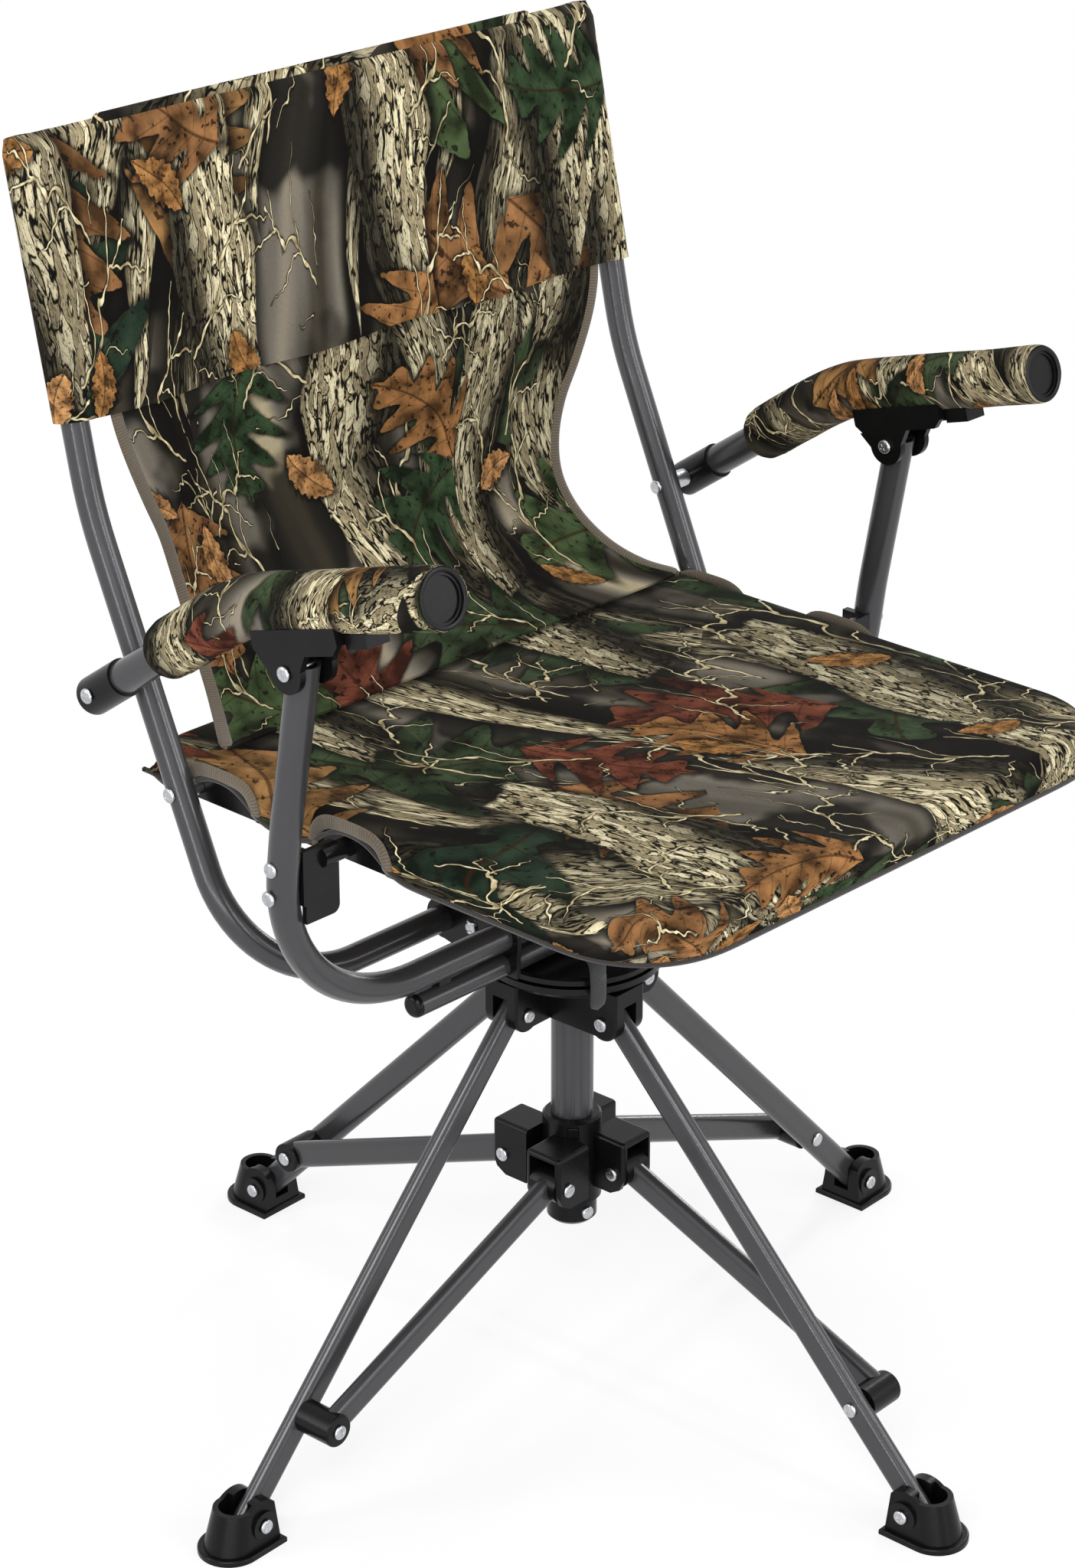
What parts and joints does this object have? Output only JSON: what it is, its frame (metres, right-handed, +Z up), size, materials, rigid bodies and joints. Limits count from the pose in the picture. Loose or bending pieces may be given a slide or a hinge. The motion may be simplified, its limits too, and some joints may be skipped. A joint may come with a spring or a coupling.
{
  "type": "folding swivel chair",
  "caption": "Folding swivel field chair: four hinged legs with pivoting feet on a column, fabric seat and back, padded arms.",
  "frame": {"origin": "on the floor under the swivel axis, at the centre of the four feet", "axes": "+Z up; the sitter faces -Y; the legs lie near +X, -X, +Y and -Y, each 13 mm to one side of the axis and turned 2.1 degrees, so that the feet stand square"},
  "size_m": [0.7634, 0.7634, 0.9698],
  "materials": {
    "grey_powder_coat": "satin charcoal powder coat on steel tube",
    "black_enamel_steel": "satin black enamel on pressed steel",
    "moulded_black_plastic": "moulded black nylon",
    "zinc_screw": "bright zinc plate",
    "camo_fabric": null,
    "webbing": "black woven webbing"
  },
  "bodies": {
    "base": {"column_tube": "grey_powder_coat", "column_cap": "moulded_black_plastic", "cap_screw": "zinc_screw", "crown_hub": "moulded_black_plastic", "crown_pins": "zinc_screw", "lower_disc": "black_enamel_steel", "bearing_ring": "black_enamel_steel"},
    "runner": {"runner_hub": "moulded_black_plastic", "runner_pins": "zinc_screw"},
    "button": {"runner_button": "moulded_black_plastic"},
    "leg_1": {"leg_1": "grey_powder_coat", "leg_bolts_1": "zinc_screw"},
    "strut_1": {"strut_1": "grey_powder_coat", "strut_fittings_1": "moulded_black_plastic", "strut_bolt_1": "zinc_screw"},
    "foot_1": {"foot_1": "moulded_black_plastic"},
    "leg_2": {"leg_2": "grey_powder_coat", "leg_bolts_2": "zinc_screw"},
    "strut_2": {"strut_2": "grey_powder_coat", "strut_fittings_2": "moulded_black_plastic", "strut_bolt_2": "zinc_screw"},
    "foot_2": {"foot_2": "moulded_black_plastic"},
    "leg_3": {"leg_3": "grey_powder_coat", "leg_bolts_3": "zinc_screw"},
    "strut_3": {"strut_3": "grey_powder_coat", "strut_fittings_3": "moulded_black_plastic", "strut_bolt_3": "zinc_screw"},
    "foot_3": {"foot_3": "moulded_black_plastic"},
    "leg_4": {"leg_4": "grey_powder_coat", "leg_bolts_4": "zinc_screw"},
    "strut_4": {"strut_4": "grey_powder_coat", "strut_fittings_4": "moulded_black_plastic", "strut_bolt_4": "zinc_screw"},
    "foot_4": {"foot_4": "moulded_black_plastic"},
    "carrier": {"swivel_plate": "black_enamel_steel", "kingpin": "zinc_screw", "carrier_bar": "grey_powder_coat", "bar_caps": "moulded_black_plastic", "bar_tabs": "black_enamel_steel", "hinge_plates": "black_enamel_steel", "front_hoop": "grey_powder_coat", "seat_locks": "black_enamel_steel", "carrier_screws": "zinc_screw", "strap": "webbing"},
    "back": {"rear_hoop": "grey_powder_coat", "hoop_plugs": "moulded_black_plastic", "back_cover": "camo_fabric", "arm_pivots": "zinc_screw", "seat_pivots": "zinc_screw"},
    "seat": {"seat_frame": "black_enamel_steel", "seat_cover": "camo_fabric"},
    "arm_right": {"arm_tube_right": "grey_powder_coat", "arm_caps_right": "moulded_black_plastic", "arm_sleeve_right": "camo_fabric"},
    "saddle_right": {"saddle_right": "moulded_black_plastic"},
    "arm_left": {"arm_tube_left": "grey_powder_coat", "arm_caps_left": "moulded_black_plastic", "arm_sleeve_left": "camo_fabric"},
    "saddle_left": {"saddle_left": "moulded_black_plastic"}
  },
  "joints": [
    {"name": "leg_1_fold", "type": "hinge", "parent": "base", "child": "leg_1", "pos_m": [-0.01105, -0.05344, 0.316], "axis": [0.9993, 0.0366, 0], "range_deg": [0, 32.08]},
    {"name": "leg_2_fold", "type": "hinge", "parent": "base", "child": "leg_2", "pos_m": [0.05344, -0.01105, 0.316], "axis": [-0.0366, 0.9993, 0], "range_deg": [0, 32.28]},
    {"name": "leg_3_fold", "type": "hinge", "parent": "base", "child": "leg_3", "pos_m": [0.01105, 0.05344, 0.316], "axis": [-0.9993, -0.0366, 0], "range_deg": [0, 32.28]},
    {"name": "leg_4_fold", "type": "hinge", "parent": "base", "child": "leg_4", "pos_m": [-0.05344, 0.01105, 0.316], "axis": [0.0366, -0.9993, 0], "range_deg": [0, 32.28]},
    {"name": "runner_slide", "type": "slide", "parent": "base", "child": "runner", "axis": [0, 0, 1], "range_m": [0, 0.0658]},
    {"name": "strut_1_fold", "type": "hinge", "parent": "runner", "child": "strut_1", "pos_m": [0.01699, -0.0404, 0.175], "axis": [0.9993, 0.0366, 0], "range_deg": [0, 50.49]},
    {"name": "foot_1_tilt", "type": "hinge", "parent": "leg_1", "child": "foot_1", "pos_m": [-0.00051, -0.34085, 0.019], "axis": [0.9993, 0.0366, 0], "range_deg": [-15, 15]},
    {"name": "strut_2_fold", "type": "hinge", "parent": "runner", "child": "strut_2", "pos_m": [0.0404, 0.01699, 0.175], "axis": [-0.0366, 0.9993, 0], "range_deg": [0, 50.49]},
    {"name": "foot_2_tilt", "type": "hinge", "parent": "leg_2", "child": "foot_2", "pos_m": [0.34085, -0.00051, 0.019], "axis": [-0.0366, 0.9993, 0], "range_deg": [-15, 15]},
    {"name": "strut_3_fold", "type": "hinge", "parent": "runner", "child": "strut_3", "pos_m": [-0.01699, 0.0404, 0.175], "axis": [-0.9993, -0.0366, 0], "range_deg": [0, 50.49]},
    {"name": "foot_3_tilt", "type": "hinge", "parent": "leg_3", "child": "foot_3", "pos_m": [0.00051, 0.34085, 0.019], "axis": [-0.9993, -0.0366, 0], "range_deg": [-15, 15]},
    {"name": "strut_4_fold", "type": "hinge", "parent": "runner", "child": "strut_4", "pos_m": [-0.0404, -0.01699, 0.175], "axis": [0.0366, -0.9993, 0], "range_deg": [0, 50.49]},
    {"name": "foot_4_tilt", "type": "hinge", "parent": "leg_4", "child": "foot_4", "pos_m": [-0.34085, 0.00051, 0.019], "axis": [0.0366, -0.9993, 0], "range_deg": [-15, 15]},
    {"name": "button_press", "type": "slide", "parent": "runner", "child": "button", "axis": [0.7071, 0.7071, 0], "range_m": [0, 0.0015], "stiffness_N_per_m": 400},
    {"name": "swivel", "type": "hinge", "parent": "base", "child": "carrier", "pos_m": [0, 0, 0.352], "axis": [0, 0, 1], "continuous": true},
    {"name": "back_fold", "type": "hinge", "parent": "carrier", "child": "back", "pos_m": [0, 0.056, 0.385], "axis": [1, 0, 0], "range_deg": [0, 25]},
    {"name": "seat_fold", "type": "hinge", "parent": "back", "child": "seat", "pos_m": [0, 0.12, 0.529], "axis": [-1, 0, 0], "range_deg": [0, 95.5]},
    {"name": "arm_right_fold", "type": "hinge", "parent": "back", "child": "arm_right", "pos_m": [0.308, 0.155, 0.606], "axis": [-1, 0, 0], "range_deg": [0, 40.8]},
    {"name": "saddle_right_tilt", "type": "hinge", "parent": "carrier", "child": "saddle_right", "pos_m": [0.308, -0.047, 0.68], "axis": [-1, 0, 0], "range_deg": [0, 34.18]},
    {"name": "arm_left_fold", "type": "hinge", "parent": "back", "child": "arm_left", "pos_m": [-0.308, 0.155, 0.606], "axis": [-1, 0, 0], "range_deg": [0, 40.8]},
    {"name": "saddle_left_tilt", "type": "hinge", "parent": "carrier", "child": "saddle_left", "pos_m": [-0.308, -0.047, 0.68], "axis": [-1, 0, 0], "range_deg": [0, 34.18]}
  ],
  "couplings": [
    {"joint": "leg_2_fold", "follows": "leg_1_fold", "ratio": 1},
    {"joint": "leg_3_fold", "follows": "leg_1_fold", "ratio": 1},
    {"joint": "leg_4_fold", "follows": "leg_1_fold", "ratio": 1},
    {"joint": "runner_slide", "follows": "leg_1_fold", "m_per_rad": 0.11663},
    {"joint": "strut_1_fold", "follows": "leg_1_fold", "ratio": 1.5647},
    {"joint": "strut_2_fold", "follows": "leg_1_fold", "ratio": 1.5647},
    {"joint": "strut_3_fold", "follows": "leg_1_fold", "ratio": 1.5647},
    {"joint": "strut_4_fold", "follows": "leg_1_fold", "ratio": 1.5647},
    {"joint": "seat_fold", "follows": "back_fold", "ratio": 3.8},
    {"joint": "arm_right_fold", "follows": "back_fold", "ratio": 1.6119},
    {"joint": "saddle_right_tilt", "follows": "back_fold", "ratio": 1.3473},
    {"joint": "arm_left_fold", "follows": "back_fold", "ratio": 1.6119},
    {"joint": "saddle_left_tilt", "follows": "back_fold", "ratio": 1.3473}
  ]
}
